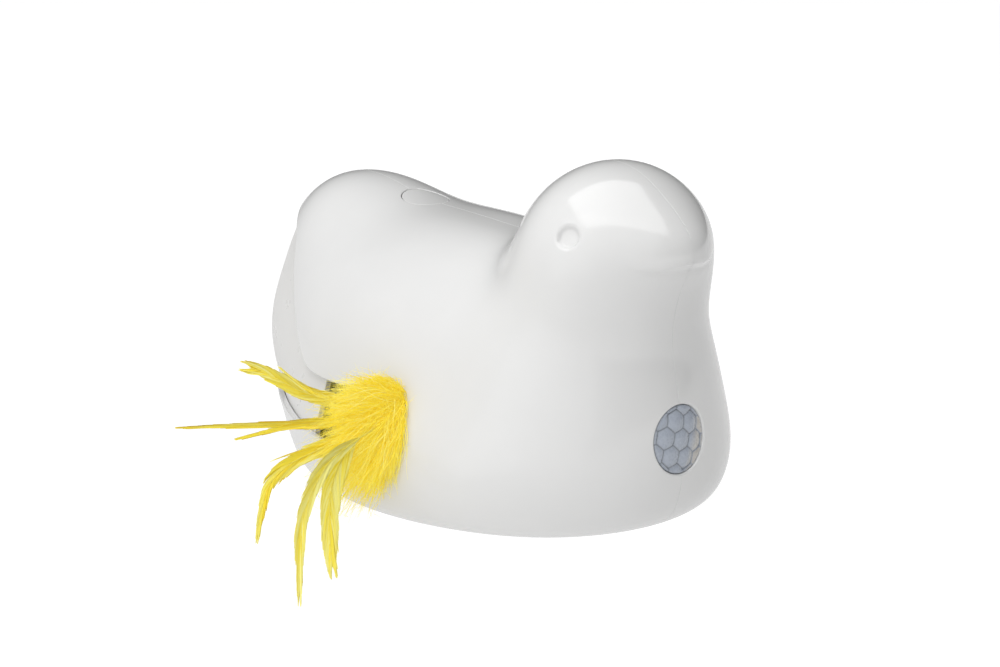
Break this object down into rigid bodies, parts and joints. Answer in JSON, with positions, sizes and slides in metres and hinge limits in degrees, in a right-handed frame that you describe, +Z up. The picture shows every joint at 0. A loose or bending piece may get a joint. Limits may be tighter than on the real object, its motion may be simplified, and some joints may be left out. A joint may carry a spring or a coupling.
{
  "type": "electronic feather-wand pet toy",
  "caption": "Bird-shaped battery toy with a motion sensor in its chest and a motor-driven feather wand that sweeps out of a side opening.",
  "frame": {"origin": "on the floor, on the centre seam, under the middle of the body", "axes": "+X the way the bird faces, +Y its left side, +Z up"},
  "size_m": [0.2033, 0.2091, 0.1256],
  "materials": {
    "white_gloss": "glossy moulded",
    "cover_white": "satin moulded",
    "base_white": "fine matte texture",
    "foot_rubber": "matte",
    "steel": "zinc plated",
    "brass": "machined",
    "cell_wrap": "gloss sleeve",
    "lens_plastic": "milky and faceted",
    "dark_plastic": "matte",
    "circuit_board": "solder mask",
    "capacitor_sleeve": "sleeve",
    "ivory_plastic": "natural acetal",
    "gearbox_grey": "moulded",
    "wand_white": "moulded",
    "quill": "dyed quill",
    "feather_yellow": "dyed feather with barbs and down",
    "lead_red": "PVC",
    "lead_grey": "PVC"
  },
  "bodies": {
    "body": {"shell_right": "white_gloss", "shell_left": "white_gloss", "rear_cover": "cover_white", "base_plate": "base_white", "rubber_feet": "foot_rubber", "base_screws": "steel", "battery_tray": "base_white", "battery_cells": "cell_wrap", "contact_plates": "steel", "contact_springs": "steel", "pir_lens": "lens_plastic", "lens_retainer": "base_white", "sensor_shroud": "dark_plastic", "pir_sensor": "steel", "pir_board": "circuit_board", "button_spring": "steel", "button_carrier": "base_white", "button_board": "circuit_board", "button_switch": "dark_plastic", "control_board": "circuit_board", "control_chip": "dark_plastic", "capacitors": "capacitor_sleeve", "board_connectors": "ivory_plastic", "board_screws": "steel", "gearbox_base": "gearbox_grey", "gearbox_cover": "gearbox_grey", "gearbox_screws": "steel", "leg_screws": "steel", "gear_pins": "steel", "shaft_bushes": "brass", "motor": "steel", "motor_leads": "lead_red", "battery_leads": "lead_red", "sensor_leads": "lead_grey", "button_leads": "lead_grey"},
    "wand": {"output_gear": "ivory_plastic", "output_shaft": "steel", "wand_hub": "wand_white", "wand_arm": "wand_white", "wand_screw": "steel", "feather_ferrule": "brass", "feather_stem": "quill", "feather_fluff": "feather_yellow", "plume_1": "feather_yellow", "plume_2": "feather_yellow", "plume_3": "feather_yellow", "plume_4": "feather_yellow", "plume_5": "feather_yellow"},
    "gear_2": {"reduction_gear_2": "ivory_plastic"},
    "gear_1": {"reduction_gear_1": "ivory_plastic"},
    "motor_rotor": {"motor_shaft": "steel", "motor_pinion": "brass"},
    "button": {"power_button": "white_gloss"},
    "door": {"battery_door": "base_white", "battery_door_screw": "steel"}
  },
  "joints": [
    {"name": "wand_sweep", "type": "hinge", "parent": "body", "child": "wand", "pos_m": [-0.025, 0, 0.045], "axis": [0, 0, 1], "range_deg": [-129, 0], "deforming": ["feather_stem", "feather_fluff", "plume_1", "plume_2", "plume_3", "plume_4", "plume_5"]},
    {"name": "gear_2_spin", "type": "hinge", "parent": "body", "child": "gear_2", "pos_m": [-0.0058, 0, 0.0316], "axis": [0, 0, 1], "range_deg": [0, 646]},
    {"name": "gear_1_spin", "type": "hinge", "parent": "body", "child": "gear_1", "pos_m": [-0.00187, 0.01468, 0.0286], "axis": [0, 0, 1], "range_deg": [-2420, 0]},
    {"name": "motor_spin", "type": "hinge", "parent": "body", "child": "motor_rotor", "pos_m": [-0.01615, 0.01988, 0.0286], "axis": [0, 0, 1], "range_deg": [0, 9072]},
    {"name": "power_button_press", "type": "slide", "parent": "body", "child": "button", "axis": [-0.1219, 0, -0.9925], "range_m": [0, 0.0012], "stiffness_N_per_m": 300, "springref_m": -0.002, "deforming": ["button_spring"]},
    {"name": "battery_door_lift", "type": "slide", "parent": "body", "child": "door", "axis": [0, 0, -1], "range_m": [0, 0.012]}
  ],
  "couplings": [
    {"joint": "gear_2_spin", "follows": "wand_sweep", "ratio": -5},
    {"joint": "gear_1_spin", "follows": "wand_sweep", "ratio": 18.75},
    {"joint": "motor_spin", "follows": "wand_sweep", "ratio": -70.312}
  ]
}
